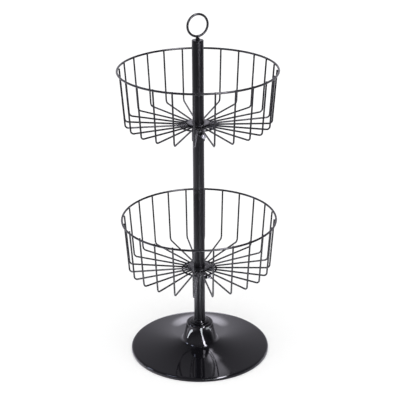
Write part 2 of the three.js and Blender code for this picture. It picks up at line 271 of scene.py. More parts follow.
def makeZinc():
    s, rough = zincSet, zincSet["roughness"]
    material, g = newMaterial("brightZincPlate")
    cloud, turned, stain = g.noise(*s["cloud"]), g.noise(*s["turned"]), g.patches(s["stains"])
    worn = cloud * rough["cloud"] + turned * rough["turned"] + stain * rough["stain"] + rough["least"]
    g.surface({
        "Base Color": g.mixColour(stain, s["clean"], s["stained"]),
        "Metallic": 1.0,
        "Roughness": worn.clamp(),
        "Normal": g.bump(turned + cloud, *s["bump"]),
    })
    return material


rubberSet = {
    "black": (0.014, 0.014, 0.014, 1),
    "chalk": (0.06, 0.058, 0.055, 1),
    "pores": (1500, 3, 0.6),
    "chalking": {"noise": (120, 3), "limits": (0.50, 0.80)},
    "chalkTone": 0.4,
    "roughness": {"pores": 0.2, "chalk": 0.1, "least": 0.66},
    "bump": (0.00012, 0.6),
}


def makeRubber():
    s, rough = rubberSet, rubberSet["roughness"]
    material, g = newMaterial("padRubber")
    pores, chalk = g.noise(*s["pores"]), g.patches(s["chalking"])
    g.surface({
        "Base Color": g.mixColour(chalk * s["chalkTone"], s["black"], s["chalk"]),
        "Roughness": (pores * rough["pores"] + chalk * rough["chalk"] + rough["least"]).clamp(),
        "Normal": g.bump(pores, *s["bump"]),
    })
    return material


nylonSet = {
    "clean": (0.78, 0.77, 0.72, 1),
    "greasy": (0.32, 0.31, 0.28, 1),
    "flow": (200, 3),
    "grease": {"noise": (330, 4, 0.7), "limits": (0.56, 0.74)},
    "greaseTone": 0.6,
    "roughness": {"flow": 0.2, "grease": 0.12, "least": 0.36},
    "bump": (0.00005, 0.4),
}


def makeNylon():
    s, rough = nylonSet, nylonSet["roughness"]
    material, g = newMaterial("washerNylon")
    flow, grease = g.noise(*s["flow"]), g.patches(s["grease"])
    g.surface({
        "Base Color": g.mixColour(grease * s["greaseTone"], s["clean"], s["greasy"]),
        "Roughness": (flow * rough["flow"] - grease * rough["grease"] + rough["least"]).clamp(),
        "Normal": g.bump(flow, *s["bump"]),
    })
    return material


plateSteelSet = {
    "dark": (0.20, 0.21, 0.23, 1),
    "light": (0.33, 0.34, 0.36, 1),
    "rust": (0.17, 0.09, 0.05, 1),
    "scale": (70, 6, 0.62),
    "patches": {"noise": (26, 5, 0.6), "limits": (0.46, 0.62)},
    "rusting": {"noise": (95, 6, 0.7), "limits": (0.66, 0.76)},
    "rustTone": 0.7,
    "rustCover": 0.8,
    "roughness": {"scale": 0.25, "rust": 0.35, "least": 0.28},
    "bump": (0.00025, 0.5),
}


def makePlateSteel():
    s, rough = plateSteelSet, plateSteelSet["roughness"]
    material, g = newMaterial("plateSteel")
    scale, patch, rust = g.noise(*s["scale"]), g.patches(s["patches"]), g.patches(s["rusting"])
    tone = g.mixColour(patch, s["dark"], s["light"])
    g.surface({
        "Base Color": g.mixColour(rust * s["rustTone"], tone, s["rust"]),
        "Metallic": (1 - rust * s["rustCover"]).clamp(),
        "Roughness": (scale * rough["scale"] + rust * rough["rust"] + rough["least"]).clamp(),
        "Normal": g.bump(scale + rust, *s["bump"]),
    })
    return material


lacquer = makeLacquer()
wireCoat = makeCoat("semiGlossWireCoat", coatSet["wire"])
tubeCoat = makeCoat("semiGlossTubeCoat", coatSet["tube"])
zinc = makeZinc()
rubber = makeRubber()
nylon = makeNylon()
plateSteel = makePlateSteel()
print("finishes made")


def arcCorner(before, corner, after, radius, steps):
    # points of a round corner, both ends included
    a, p, b = Vector(before), Vector(corner), Vector(after)
    back, ahead = (a - p).normalized(), (b - p).normalized()
    half = back.angle(ahead) / 2
    reach = radius / math.tan(half)
    centre = p + (back + ahead).normalized() * radius / math.sin(half)
    start, end = p + back * reach - centre, p + ahead * reach - centre
    turn = math.atan2(start.x * end.y - start.y * end.x, start.dot(end))
    return [centre + Matrix.Rotation(turn * i / steps, 2) @ start for i in range(steps + 1)]


def roundedLoop(places, rounds, steps=4, closed=True):
    # places are (radius from the axis, height), each with its rounding
    line = []
    last = len(places) - 1
    for i, (place, rounding) in enumerate(zip(places, rounds)):
        if rounding == 0 or (not closed and i in (0, last)):
            line.append(Vector(place))
        else:
            line += arcCorner(places[i - 1], place, places[(i + 1) % len(places)], rounding, steps)
    return line


def ringLine(inner, outer, low, high, rounds):
    # a square section, from its inner foot round to its inner top
    return roundedLoop([(inner, low), (outer, low), (outer, high), (inner, high)], rounds)


def circleLine(x, z, radius, sides):
    angles = [i * math.tau / sides for i in range(sides)]
    return [Vector((x + radius * math.cos(a), z + radius * math.sin(a))) for a in angles]


def asMesh(name, bm):
    mesh = bpy.data.meshes.new(name)
    bm.to_mesh(mesh)
    bm.free()
    return mesh


def dressMesh(name, mesh, material, smoothDegrees=32):
    mesh.name = name
    mesh.materials.clear()
    mesh.materials.append(material)
    mesh.shade_smooth()
    mesh.set_sharp_from_angle(angle=math.radians(smoothDegrees))
    made = bpy.data.objects.new(name, mesh)
    scene.collection.objects.link(made)
    return made


def meshObject(name, bm, material, smoothDegrees=32):
    bmesh.ops.remove_doubles(bm, verts=bm.verts, dist=1e-7)
    bmesh.ops.recalc_face_normals(bm, faces=bm.faces)
    return dressMesh(name, asMesh(name, bm), material, smoothDegrees)


def ringVerts(bm, radius, z, count):
    angles = [i * math.tau / count for i in range(count)]
    return [bm.verts.new((radius * math.cos(a), radius * math.sin(a), z)) for a in angles]


def latheInto(bm, line, segments, closed=True, turn=None):
    # turns a line of (radius, height) about Z; an open line starts and ends on the axis
    rings = []
    for point in line:
        onAxis = point.x < 1e-6
        rings.append([bm.verts.new((0, 0, point.y))] if onAxis else ringVerts(bm, point.x, point.y, segments))
    pairs = list(zip(rings, rings[1:]))
    if closed:
        pairs.append((rings[-1], rings[0]))
    for low, high in pairs:
        for i in range(segments):
            j = (i + 1) % segments
            if len(low) == 1:
                bm.faces.new((low[0], high[j], high[i]))
            elif len(high) == 1:
                bm.faces.new((low[i], low[j], high[0]))
            else:
                bm.faces.new((low[i], low[j], high[j], high[i]))
    if turn is not None:
        bmesh.ops.transform(bm, matrix=turn, verts=[v for ring in rings for v in ring])


def lathe(name, line, segments, material):
    bm = bmesh.new()
    latheInto(bm, line, segments)
    return meshObject(name, bm, material)


def latheMesh(line, segments, closed=True):
    bm = bmesh.new()
    latheInto(bm, line, segments, closed)
    bmesh.ops.recalc_face_normals(bm, faces=bm.faces)
    return asMesh("turned", bm)


def gather(meshes):
    bm = bmesh.new()
    for mesh in meshes:
        bm.from_mesh(mesh)
    return bm


def joinMeshes(name, meshes, material, matrix=None, smoothDegrees=32):
    bm = gather(meshes)
    if matrix is not None:
        bmesh.ops.transform(bm, matrix=matrix, verts=bm.verts)
    return meshObject(name, bm, material, smoothDegrees)


def hand(piece, body, slotName, *nodes):
    # a piece rides on its body, and stands for its nodes
    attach(piece, body)
    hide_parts(*nodes)


def newTree(name, inputs):
    tree = bpy.data.node_groups.new(name, "GeometryNodeTree")
    tree.interface.new_socket("Geometry", in_out="INPUT", socket_type="NodeSocketGeometry")
    for label, kind in inputs.items():
        tree.interface.new_socket(label, in_out="INPUT", socket_type=kind)
    tree.interface.new_socket("Geometry", in_out="OUTPUT", socket_type="NodeSocketGeometry")
    return tree


class Nodes:
    # builds a geometry tree
    def __init__(self, tree):
        self.tree = tree
        self.entry = tree.nodes.new("NodeGroupInput")

    def given(self, label):
        return self.entry.outputs[label]

    def times(self, first, second):
        return self.math("MULTIPLY", first, second)

    def add(self, kind, settings=None, values=None):
        node = self.tree.nodes.new(kind)
        for key, value in (settings or {}).items():
            setattr(node, key, value)
        for key, value in (values or {}).items():
            if isinstance(value, bpy.types.NodeSocket):
                self.tree.links.new(value, node.inputs[key])
            else:
                node.inputs[key].default_value = value
        return node

    def math(self, operation, first, second=0.0):
        return self.add("ShaderNodeMath", {"operation": operation}, {0: first, 1: second}).outputs[0]

    def end(self, geometry):
        real = self.add("GeometryNodeRealizeInstances", None, {"Geometry": geometry}).outputs[0]
        dressed = self.add("GeometryNodeSetMaterial", None, {
            "Geometry": real, "Material": self.given("Material"),
        }).outputs[0]
        out = self.tree.nodes.new("NodeGroupOutput")
        self.tree.links.new(dressed, out.inputs[0])


def copiesAbout(n, geometry):
    # repeats a geometry about Z, evenly, from a first turn
    single = n.add("GeometryNodeGeometryToInstance", None, {"Geometry": geometry}).outputs[0]
    many = n.add("GeometryNodeDuplicateElements", {"domain": "INSTANCE"}, {
        "Geometry": single, "Amount": n.given("Copies"),
    })
    step = n.math("DIVIDE", math.tau, n.given("Copies"))
    angle = n.math("ADD", n.times(many.outputs["Duplicate Index"], step), n.given("First Turn"))
    turn = n.add("ShaderNodeCombineXYZ", None, {"Z": angle}).outputs[0]
    return n.add("GeometryNodeRotateInstances", None, {
        "Instances": many.outputs[0], "Rotation": turn, "Local Space": False,
    }).outputs[0]


def makeWireTree():
    # a wire along the given line, repeated about the pole
    tree = newTree("wiresAboutPole", {
        "Wire Radius": "NodeSocketFloat", "Sides": "NodeSocketInt", "Copies": "NodeSocketInt",
        "First Turn": "NodeSocketFloat", "Material": "NodeSocketMaterial",
    })
    n = Nodes(tree)
    line = n.add("GeometryNodeMeshToCurve", None, {"Mesh": n.given("Geometry")}).outputs[0]
    section = n.add("GeometryNodeCurvePrimitiveCircle", None, {
        "Resolution": n.given("Sides"), "Radius": n.given("Wire Radius"),
    }).outputs[0]
    wire = n.add("GeometryNodeCurveToMesh", None, {
        "Curve": line, "Profile Curve": section, "Fill Caps": True,
    }).outputs[0]
    n.end(copiesAbout(n, wire))
    return tree


def makeCopyTree():
    # the given mesh, repeated about the pole
    tree = newTree("copiesAboutPole", {
        "Copies": "NodeSocketInt", "First Turn": "NodeSocketFloat", "Material": "NodeSocketMaterial",
    })
    n = Nodes(tree)
    n.end(copiesAbout(n, n.given("Geometry")))
    return tree


knurlSet = {"grooves": 36, "depth": 0.00028, "rimShare": 0.93}


def makeKnurlTree():
    # grooves along the given turned head, on its rim only
    tree = newTree("knurledHead", {
        "Grooves": "NodeSocketInt", "Depth": "NodeSocketFloat", "Rim Radius": "NodeSocketFloat",
        "Material": "NodeSocketMaterial",
    })
    n = Nodes(tree)
    place = n.add("GeometryNodeInputPosition").outputs[0]
    parts = n.add("ShaderNodeSeparateXYZ", None, {0: place}).outputs
    angle = n.math("ARCTAN2", parts["Y"], parts["X"])
    flat = n.add("ShaderNodeCombineXYZ", None, {"X": parts["X"], "Y": parts["Y"]}).outputs[0]
    reach = n.add("ShaderNodeVectorMath", {"operation": "LENGTH"}, {0: flat}).outputs["Value"]
    wave = n.math("ABSOLUTE", n.math("SINE", n.times(angle, n.times(n.given("Grooves"), 0.5))))
    nearRim = n.math("GREATER_THAN", reach, n.times(n.given("Rim Radius"), knurlSet["rimShare"]))
    inward = n.times(n.times(n.times(wave, n.given("Depth")), nearRim), -1.0)
    outward = n.add("ShaderNodeVectorMath", {"operation": "NORMALIZE"}, {0: flat}).outputs[0]
    offset = n.add("ShaderNodeVectorMath", {"operation": "SCALE"}, {0: outward, "Scale": inward}).outputs[0]
    n.end(n.add("GeometryNodeSetPosition", None, {
        "Geometry": n.given("Geometry"), "Offset": offset,
    }).outputs[0])
    return tree


def makeThreadTree():
    # a thread's ridge, as a helix about Z
    tree = newTree("threadRidge", {
        "Turns": "NodeSocketFloat", "Thread Radius": "NodeSocketFloat", "Length": "NodeSocketFloat",
        "Ridge": "NodeSocketFloat", "Start": "NodeSocketFloat", "Material": "NodeSocketMaterial",
    })
    n = Nodes(tree)
    helix = n.add("GeometryNodeCurveSpiral", None, {
        "Resolution": 20, "Rotations": n.given("Turns"), "Start Radius": n.given("Thread Radius"),
        "End Radius": n.given("Thread Radius"), "Height": n.given("Length"),
    }).outputs[0]
    section = n.add("GeometryNodeCurvePrimitiveCircle", None, {
        "Resolution": 4, "Radius": n.given("Ridge"),
    }).outputs[0]
    ridge = n.add("GeometryNodeCurveToMesh", None, {
        "Curve": helix, "Profile Curve": section, "Fill Caps": True,
    }).outputs[0]
    lift = n.add("ShaderNodeCombineXYZ", None, {"Z": n.given("Start")}).outputs[0]
    placed = n.add("GeometryNodeTransform", None, {"Geometry": ridge, "Translation": lift}).outputs[0]
    both = n.add("GeometryNodeJoinGeometry")
    tree.links.new(placed, both.inputs[0])
    tree.links.new(n.given("Geometry"), both.inputs[0])
    n.end(both.outputs[0])
    return tree


wireTree = makeWireTree()
copyTree = makeCopyTree()
knurlTree = makeKnurlTree()
threadTree = makeThreadTree()


def grow(source, tree, settings):
    # runs a tree on a mesh and gives back a plain mesh
    holder = bpy.data.objects.new("holder", source)
    scene.collection.objects.link(holder)
    modifier = holder.modifiers.new("tree", "NODES")
    modifier.node_group = tree
    sockets = {s.name: s.identifier for s in tree.interface.items_tree if s.in_out == "INPUT"}
    for label, value in settings.items():
        modifier[sockets[label]] = value
    bpy.context.view_layer.update()
    evaluated = holder.evaluated_get(bpy.context.evaluated_depsgraph_get())
    mesh = bpy.data.meshes.new_from_object(evaluated)
    holder.modifiers.clear()
    bpy.data.objects.remove(holder)
    return mesh


def lineMesh(points):
    mesh = bpy.data.meshes.new("line")
    edges = [(i, i + 1) for i in range(len(points) - 1)]
    mesh.from_pydata([tuple(p) for p in points], edges, [])
    return mesh


boltHole = 0.0043  # radius of the hole that the tie bolt passes

baseSet = {
    "radius": 0.141,
    "height": 0.0605,
    "wall": 0.0015,
    "lipTop": 0.0073,
    "lipBottom": 0.0008,
    "lipRound": 0.0032,
    "skirtSlope": 0.058,
    "skirtCurl": 0.18,
    "sweepRadius": 0.041454,
    "sweepTop": 0.0245025,
    "sweepPull": 0.42,
    "neckTopRadius": 0.0272,
    "neckFlare": 0.0074,
    "neckCurl": 1.6,
    "shoulder": 0.0035,
    "skirtSteps": 34,
    "sweepSteps": 22,
    "neckSteps": 18,
    "roundSteps": 12,
    "segments": 256,
}


def offsetLine(line, wall):
    # moves each point to the inside of the wall
    moved = []
    for i, point in enumerate(line):
        before, after = line[max(i - 1, 0)], line[min(i + 1, len(line) - 1)]
        along = (after - before).normalized()
        moved.append(point + Vector((-along.y, along.x)) * wall)
    return moved


def evenly(low, high, steps, pointAt):
    return [Vector(pointAt(low + (high - low) * i / steps)) for i in range(steps + 1)]


def skirtHeight(radius):
    s = baseSet
    rise = (s["radius"] / radius) ** s["skirtCurl"] - 1
    return s["lipTop"] + s["skirtSlope"] * s["radius"] * rise / s["skirtCurl"]


def neckRadius(height):
    s = baseSet
    down = (s["height"] - height) / (s["height"] - s["sweepTop"])
    return s["neckTopRadius"] + s["neckFlare"] * down ** s["neckCurl"]


def sweepBetween(first, second, steps):
    # leaves the first line and meets the second without a kink, ends left out
    a, b, c, d = first[-2], first[-1], second[0], second[1]
    pull = (c - b).length * baseSet["sweepPull"]
    leave, arrive = b + (b - a).normalized() * pull, c + (c - d).normalized() * pull
    found = []
    for i in range(1, steps):
        t = i / steps
        u = 1 - t
        found.append(b * u ** 3 + leave * 3 * u * u * t + arrive * 3 * u * t * t + c * t ** 3)
    return found


def makeBase():
    s = baseSet
    edge, top = s["radius"], s["height"]
    lipFoot, lip = (edge, s["lipBottom"]), (edge, s["lipTop"])
    skirt = evenly(edge - 2 * s["lipRound"], s["sweepRadius"], s["skirtSteps"], lambda r: (r, skirtHeight(r)))
    neck = evenly(s["sweepTop"], top - 2 * s["shoulder"], s["neckSteps"], lambda z: (neckRadius(z), z))
    outside = [Vector(lipFoot)]
    outside += arcCorner(lipFoot, lip, skirt[0], s["lipRound"], s["roundSteps"]) + skirt
    outside += sweepBetween(skirt, neck, s["sweepSteps"]) + neck
    shoulder = (s["neckTopRadius"], top)
    outside += arcCorner(neck[-1], shoulder, (boltHole, top), s["shoulder"], s["roundSteps"])
    outside.append(Vector((boltHole, top)))
    inside = offsetLine(outside, s["wall"])
    inside[0] = Vector((edge - s["wall"], s["lipBottom"]))
    inside[-1] = Vector((boltHole, top - s["wall"]))
    return lathe("baseShell", outside + inside[::-1], s["segments"], lacquer)


hand(makeBase(), "base", "gloss_black_lacquer", "base_shell")

plateSet = {
    "thick": 0.003,
    "dish": 0.017,
    "rise": 0.007,
    "run": 0.0035,
    "setBack": 0.0018,
    "edgeRound": 0.0006,
    "bendRound": 0.0012,
    "segments": 160,
}


def makePlate():
    s = plateSet
    low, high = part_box("ballast_plate")
    top, e, b = low.z + s["thick"], s["edgeRound"], s["bendRound"]
    foot, shoulder = s["dish"] + s["run"], s["dish"] + s["setBack"]
    line = roundedLoop([
        (boltHole, high.z - s["thick"]), (s["dish"], high.z - s["thick"]), (foot, low.z), (high.x, low.z),
        (high.x, top), (foot + s["setBack"], top), (shoulder, top + s["rise"]), (boltHole, high.z),
    ], [e, b, b, e, e, b, b, e])
    return lathe("ballastPlate", line, s["segments"], plateSteel)


hand(makePlate(), "base", "raw_steel", "ballast_plate")

padSet = {
    "count": 4,
    "topBevel": (0.0006, 0.0008),
    "footBevel": (0.0008, 0.0005),
    "bevelRounds": [0.0003, 0.0003, 0.0004, 0.0002],
    "treads": 3,
    "treadDepth": 0.0004,
    "treadFoot": 0.0004,
    "treadTop": 0.0002,
    "firstTread": 0.0022,
    "treadStep": 0.0019,
    "segments": 40,
}


def makePads():
    s = padSet
    low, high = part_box("foot_pad_1")
    radius, depth, foot, top = (high.x - low.x) / 2, s["treadDepth"], s["treadFoot"], s["treadTop"]
    centre = (low + high) / 2
    (topRun, topDrop), (footRun, footRise) = s["topBevel"], s["footBevel"]
    places = [(0, high.z), (radius - topRun, high.z), (radius, high.z - topDrop)]
    places += [(radius, footRise), (radius - footRun, 0)]
    for i in range(s["treads"]):
        at = radius - s["firstTread"] - i * s["treadStep"]
        places += [(at + foot, 0), (at + top, depth), (at - top, depth), (at - foot, 0)]
    places.append((0, 0))
    rounds = [0] + s["bevelRounds"] + [0] * (4 * s["treads"] + 1)
    pad = latheMesh(roundedLoop(places, rounds, 3, closed=False), s["segments"], closed=False)
    pad.transform(Matrix.Translation((centre.x, centre.y, 0)))
    return dressMesh("footPads", grow(pad, copyTree, {
        "Copies": s["count"], "First Turn": 0.0, "Material": rubber,
    }), rubber)


hand(makePads(), "base", "black_rubber", "foot_pad_1", "foot_pad_2", "foot_pad_3", "foot_pad_4")
print("base made")


poleSet = {"radius": 0.0111, "wall": 0.0012, "edge": 0.0003, "plug": 0.0096, "segments": 96}


def makeTube(name, node):
    s = poleSet
    low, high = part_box(node)
    line = ringLine(s["radius"] - s["wall"], s["radius"], low.z, high.z, [s["edge"]] * 4)
    return lathe(name, line, s["segments"], tubeCoat)


hand(makeTube("lowerPole", "lower_pole"), "base", "satin_black_coat", "lower_pole")
hand(makeTube("upperPole", "upper_pole"), "base", "satin_black_coat", "upper_pole")

couplerSet = {"bandHeight": 0.008, "wall": 0.0022, "edge": 0.0005}


def makeCoupler():
    low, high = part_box("pole_coupler")
    middle, half = (low.z + high.z) / 2, couplerSet["bandHeight"] / 2
    band, plug, e = high.x, poleSet["plug"], couplerSet["edge"]
    bore = plug - couplerSet["wall"]
    line = roundedLoop([
        (bore, low.z), (plug, low.z), (plug, middle - half), (band, middle - half),
        (band, middle + half), (plug, middle + half), (plug, high.z), (bore, high.z),
    ], [e, e, 0, e, e, 0, e, e])
    return lathe("poleCoupler", line, poleSet["segments"], tubeCoat)


hand(makeCoupler(), "base", "satin_black_coat", "pole_coupler")

flangeSet = {
    "thick": 0.002,
    "collarBore": 0.0114,
    "collarWall": 0.0016,
    "collarHeight": 0.0022,
    "rounds": [0.0002, 0.0004, 0.0008, 0.0005, 0.0004, 0.0002, 0, 0, 0.0005, 0.0004],
}


def makeFlange():
    s = flangeSet
    low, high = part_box("foot_flange")
    plug, bore, wall = poleSet["plug"], s["collarBore"], s["collarWall"]
    top = low.z + s["thick"]
    collarTop = top + s["collarHeight"]
    line = roundedLoop([
        (boltHole, low.z), (high.x, low.z), (high.x, top), (bore + wall, top), (bore + wall / 2, collarTop),
        (bore, collarTop), (bore, top), (plug, top), (plug, high.z), (boltHole, high.z),
    ], s["rounds"])
    return lathe("footFlange", line, poleSet["segments"], lacquer)


hand(makeFlange(), "base", "satin_black_coat", "foot_flange")


hexSet = {"steps": 24, "dropShare": 0.6}  # enough steps for the corners to turn down


def hexInto(bm, radius, low, high, chamfer):
    steps, drop = hexSet["steps"], chamfer * hexSet["dropShare"]
    levels = [(low, radius - chamfer), (low + drop, radius), (high - drop, radius), (high, radius - chamfer)]
    rings = []
    for z, reach in levels:
        ring = []
        for i in range(steps):
            a = i * math.tau / steps
            flat = radius * math.cos(math.pi / 6) / math.cos((a + math.pi / 6) % (math.pi / 3) - math.pi / 6)
            r = min(flat, reach)
            ring.append(bm.verts.new((r * math.cos(a), r * math.sin(a), z)))
        rings.append(ring)
    for a, b in zip(rings, rings[1:]):
        for i in range(steps):
            j = (i + 1) % steps
            bm.faces.new((a[i], a[j], b[j], b[i]))
    return rings[0], rings[-1]


def hexHead(radius, low, high, chamfer):
    bm = bmesh.new()
    first, last = hexInto(bm, radius, low, high, chamfer)
    bm.faces.new(first[::-1])
    bm.faces.new(last)
    return asMesh("hexHead", bm)


def hexRing(radius, hole, low, high, chamfer):
    bm = bmesh.new()
    first, last = hexInto(bm, radius, low, high, chamfer)
    steps = hexSet["steps"]
    bottom, top = ringVerts(bm, hole, low, steps), ringVerts(bm, hole, high, steps)
    for i in range(steps):
        j = (i + 1) % steps
        bm.faces.new((first[j], first[i], bottom[i], bottom[j]))
        bm.faces.new((last[i], last[j], top[j], top[i]))
        bm.faces.new((bottom[i], top[i], top[j], bottom[j]))
    bmesh.ops.recalc_face_normals(bm, faces=bm.faces)
    return asMesh("hexRing", bm)


# all but the segments are shares of the pitch
threadSet = {"core": 0.5, "coreRound": 0.3, "ridgeIn": 0.45, "ridge": 0.42, "segments": 24}


def threadedRod(radius, low, high, pitch, material):
    s = threadSet
    core, rounding, length = radius - pitch * s["core"], pitch * s["coreRound"], high - low - pitch
    line = roundedLoop([(0, low), (core, low), (core, high), (0, high)], [0, rounding, rounding, 0], 3, False)
    return grow(latheMesh(line, s["segments"], closed=False), threadTree, {
        "Turns": length / pitch, "Thread Radius": radius - pitch * s["ridgeIn"], "Length": length,
        "Ridge": pitch * s["ridge"], "Start": low + pitch / 2, "Material": material,
    })


boltSet = {
    "headHeight": 0.0053,
    "headRadius": 0.0072,
    "chamfer": 0.0007,
    "radius": 0.004,
    "pitch": 0.00125,
    "sunk": 0.0004,
}


def makeBolt():
    s = boltSet
    low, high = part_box("tie_bolt")
    headTop = low.z + s["headHeight"]
    head = hexHead(s["headRadius"], low.z, headTop, s["chamfer"])
    shank = threadedRod(s["radius"], headTop - s["sunk"], high.z, s["pitch"], zinc)
    return joinMeshes("tieBolt", [head, shank], zinc)


hand(makeBolt(), "base", "bright_zinc", "tie_bolt")


washerSet = {"rounds": [0.0001, 0.0003, 0.0002, 0.0001], "segments": 64}


def makeWasher():
    low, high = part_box("bolt_washer")
    line = ringLine(boltHole, high.x, low.z, high.z, washerSet["rounds"])
    return lathe("boltWasher", line, washerSet["segments"], zinc)


hand(makeWasher(), "base", "bright_zinc", "bolt_washer")

studHole = 0.0027  # radius of the hole that the ring's stud passes

capSet = {"thick": 0.0015, "rounds": [0.0002, 0.0006, 0, 0.0001, 0.0007, 0.0002]}


def makeCap():
    low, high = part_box("end_cap")
    plug, radius, brim = poleSet["plug"], poleSet["radius"], high.z - capSet["thick"]
    line = roundedLoop([
        (studHole, low.z), (plug, low.z), (plug, brim), (radius, brim), (radius, high.z), (studHole, high.z),
    ], capSet["rounds"])
    return lathe("endCap", line, poleSet["segments"], tubeCoat)


hand(makeCap(), "base", "satin_black_coat", "end_cap")

nutSet = {"radius": 0.0044, "chamfer": 0.0005}


def makeNut():
    low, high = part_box("ring_nut")
    ring = hexRing(nutSet["radius"], studHole, low.z, high.z, nutSet["chamfer"])
    return joinMeshes("ringNut", [ring], tubeCoat)


hand(makeNut(), "base", "satin_black_coat", "ring_nut")

ringSet = {
    "radius": 0.0208,
    "wire": 0.0022,
    "yaw": 26,
    "stud": 0.0024,
    "weld": [(0.0027, -0.0012), (0.0012, 0.0002), (0, 0.0004)],  # from the wire's lowest centre
    "weldRounds": [0, 0.0004, 0.0008, 0.0004, 0.0004, 0],
    "sides": 20,
    "steps": 128,
    "studSegments": 32,
}


def makeRing():
    s = ringSet
    low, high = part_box("ring_handle")
    centre = high.z - s["wire"] - s["radius"]
    upright = Matrix.Translation((0, 0, centre)) @ Matrix.Rotation(math.pi / 2, 4, "X")
    bm = bmesh.new()
    latheInto(bm, circleLine(s["radius"], 0, s["wire"], s["sides"]), s["steps"], True, upright)
    foot = centre - s["radius"]
    places = [(0, low.z), (s["stud"], low.z), (s["stud"], foot - s["wire"])]
    places += [(x, foot + rise) for x, rise in s["weld"]]
    latheInto(bm, roundedLoop(places, s["weldRounds"], closed=False), s["studSegments"], False)
    bmesh.ops.transform(bm, matrix=Matrix.Rotation(math.radians(s["yaw"]), 4, "Z"), verts=bm.verts)
    return meshObject("ringHandle", bm, wireCoat)


hand(makeRing(), "base", "satin_black_coat", "ring_handle")
print("pole made")


basketSet = {
    "ribs": 24,
    "ribWire": 0.0017,
    "rimRadius": 0.1524,
    "rimWire": 0.00205,
    "cornerRadius": 0.141,
    "depth": 0.105,
    "bend": 0.007,
    "proud": 0.0008,
    "drop": 0.0034,
    "spokeEnd": 0.017,
    "sunk": 0.00015,
    "support": 0.0343,
    "supportWire": 0.0018,
    "weldSunk": 0.0006,
    "rimWeld": (0.0007, 0.0013, 0.0009),
    "supportWeld": (0.0013, 0.0013, 0.0007),
    "hubWeld": (0.0017, 0.0014, 0.0006),
    "hubWeldIn": 0.0015,
    "hub": 0.022,
    "bore": 0.01145,
    "hubRounds": [0.0003, 0.0006, 0.0006, 0.0004],
    "washerRounds": [0.0002, 0.0003, 0.0003, 0.0002],
    "bendSteps": 10,
    "ribSides": 14,
    "supportSteps": 144,
    "rimSides": 16,
    "rimSteps": 240,
    "hubSegments": 96,
    "washerSegments": 64,
    "smooth": 40,
}


def ribLine():
    s = basketSet
    top = (s["rimRadius"] - s["rimWire"] - s["ribWire"] + s["sunk"], s["depth"] + s["proud"])
    corner, end = (s["cornerRadius"], 0), (s["spokeEnd"], -s["drop"])
    return [Vector(top)] + arcCorner(top, corner, end, s["bend"], s["bendSteps"]) + [Vector(end)]


def weldMesh(centre, size):
    # a small squeezed weld
    bm = bmesh.new()
    bmesh.ops.create_icosphere(bm, subdivisions=2, radius=1)
    bmesh.ops.scale(bm, vec=size, verts=bm.verts)
    bmesh.ops.translate(bm, vec=centre, verts=bm.verts)
    return asMesh("weld", bm)


def makeCage(tier, lift, firstTurn):
    s = basketSet
    ribs = grow(lineMesh([(p.x, 0, p.y) for p in ribLine()]), wireTree, {
        "Wire Radius": s["ribWire"], "Sides": s["ribSides"], "Copies": s["ribs"], "First Turn": firstTurn,
        "Material": wireCoat,
    })
    spokeSlope = s["drop"] / (s["cornerRadius"] - s["spokeEnd"])
    spokeFoot = -spokeSlope * (s["cornerRadius"] - s["support"]) - s["ribWire"]  # over the support ring
    ringHeight = spokeFoot - s["supportWire"] + s["weldSunk"]
    section = circleLine(s["support"], ringHeight, s["supportWire"], s["ribSides"])
    support = latheMesh(section, s["supportSteps"])
    welds = grow(asMesh("welds", gather([
        weldMesh((s["rimRadius"] - s["rimWire"], 0, s["depth"]), s["rimWeld"]),
        weldMesh((s["support"], 0, spokeFoot + s["weldSunk"] / 2), s["supportWeld"]),
        weldMesh((s["spokeEnd"] + s["hubWeldIn"], 0, -s["drop"] + s["ribWire"]), s["hubWeld"]),
    ])), copyTree, {"Copies": s["ribs"], "First Turn": firstTurn, "Material": wireCoat})
    return joinMeshes(f"{tier}RibCage", [ribs, support, welds], wireCoat, lift, s["smooth"])


def makeBasket(tier, yawDegrees):
    s = basketSet
    body = f"{tier}_basket"
    low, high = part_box(f"{tier}_rim")
    lift = Matrix.Translation((0, 0, (low.z + high.z) / 2 - s["depth"]))
    cage = makeCage(tier, lift, math.radians(yawDegrees))
    hand(cage, body, "satin_black_coat", f"{tier}_rib_cage")

    wire = latheMesh(circleLine(s["rimRadius"], s["depth"], s["rimWire"], s["rimSides"]), s["rimSteps"])
    rim = joinMeshes(f"{tier}Rim", [wire], wireCoat, lift)
    hand(rim, body, "satin_black_coat", f"{tier}_rim")

    low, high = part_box(f"{tier}_hub_disc")
    line = ringLine(s["bore"], s["hub"], low.z, high.z, s["hubRounds"])
    disc = lathe(f"{tier}HubDisc", line, s["hubSegments"], wireCoat)
    hand(disc, body, "satin_black_coat", f"{tier}_hub_disc")

    low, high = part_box(f"{tier}_bearing_washer")
    line = ringLine(s["bore"], high.x, low.z, high.z, s["washerRounds"])
    washer = lathe(f"{tier}BearingWasher", line, s["washerSegments"], nylon)
    hand(washer, body, "white_nylon", f"{tier}_bearing_washer")


stopSet = {
    "bore": 0.01145,
    "outer": 0.0127,
    "bossDrop": 0.018,
    "bossRadius": 0.0054,
    "bossSunk": 0.0012,
    "bossEnd": 0.0173,
    "bossChamfer": 0.0006,
    "bead": 0.0011,
    "beadIn": 0.0004,
    "beadSunk": 0.0006,
    "screwHole": 0.0028,
    "screwRadius": 0.0025,
    "screwTip": 0.0114,
    "screwSunk": 0.0006,
    "headStart": 0.0187,
    "headLength": 0.006,
    "headRadius": 0.0046,
    "headBevel": 0.0008,
    "pitch": 0.0008,
    "sleeveRounds": [0.0003, 0.0004, 0.0004, 0.0003],
    "headRounds": [0, 0.0002, 0.0002, 0.0002, 0.0003, 0],
    "sleeveSegments": 96,
    "beadSides": 10,
    "beadSteps": 48,
    "headSegments": 144,
    "smooth": 28,
}


